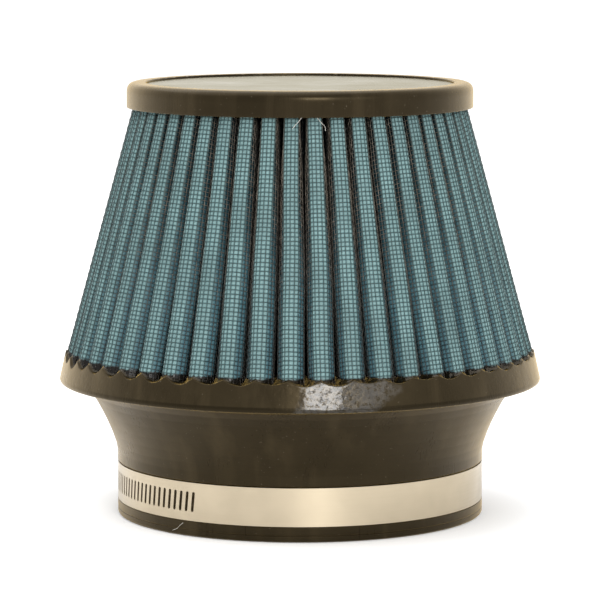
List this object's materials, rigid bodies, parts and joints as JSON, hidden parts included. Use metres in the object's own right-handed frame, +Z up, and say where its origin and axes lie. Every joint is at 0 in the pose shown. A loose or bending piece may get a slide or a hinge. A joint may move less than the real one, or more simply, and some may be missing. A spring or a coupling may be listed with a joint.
{
  "type": "air filter",
  "caption": "Conical clamp-on air filter: pleated cotton-gauze cone between a moulded end cap and a flange with a slip-on collar and worm-drive clamp.",
  "frame": {"origin": "centre of the flange's bottom face, on the filter's axis", "axes": "+Z up along the axis, from the flange's mouth to the end cap; -Y is the front seen in the picture"},
  "size_m": [0.1778, 0.1778, 0.1593],
  "materials": {
    "urethane": "dark moulded urethane, satin",
    "badge": "smooth semi-gloss, blank",
    "outer_mesh": "woven wire screen, dark coated",
    "gauze": "blue oiled cotton gauze",
    "inner_mesh": "woven wire screen, coated",
    "clip_steel": "bent sheet steel",
    "stainless": "bright stainless strip",
    "zinc_plate": "plated steel"
  },
  "bodies": {
    "filter": {"end_cap": "urethane", "badge_disc": "badge", "outer_screen": "outer_mesh", "gauze_layer_1": "gauze", "gauze_layer_2": "gauze", "gauze_layer_3": "gauze", "gauze_layer_4": "gauze", "inner_screen": "inner_mesh", "seam_clip": "clip_steel", "base_flange": "urethane"},
    "clamp_housing": {"clamp_housing": "stainless", "clamp_saddle": "stainless"},
    "clamp_band": {"clamp_band": "stainless"},
    "clamp_screw": {"clamp_screw": "zinc_plate"}
  },
  "joints": [
    {"name": "clamp_turn", "type": "hinge", "parent": "filter", "child": "clamp_housing", "pos_m": [0, 0, 0.0125], "axis": [0, 0, 1], "continuous": true},
    {"name": "band_feed", "type": "hinge", "parent": "clamp_housing", "child": "clamp_band", "pos_m": [0, 0, 0.0125], "axis": [0, 0, -1], "range_deg": [-18.74, 4.69]},
    {"name": "screw_turn", "type": "hinge", "parent": "clamp_housing", "child": "clamp_screw", "pos_m": [-0.03745, 0.06285, 0.0125], "axis": [-0.859, -0.5119, 0], "range_deg": [-2881, 721]}
  ],
  "couplings": [
    {"joint": "screw_turn", "follows": "band_feed", "ratio": 153.65}
  ]
}
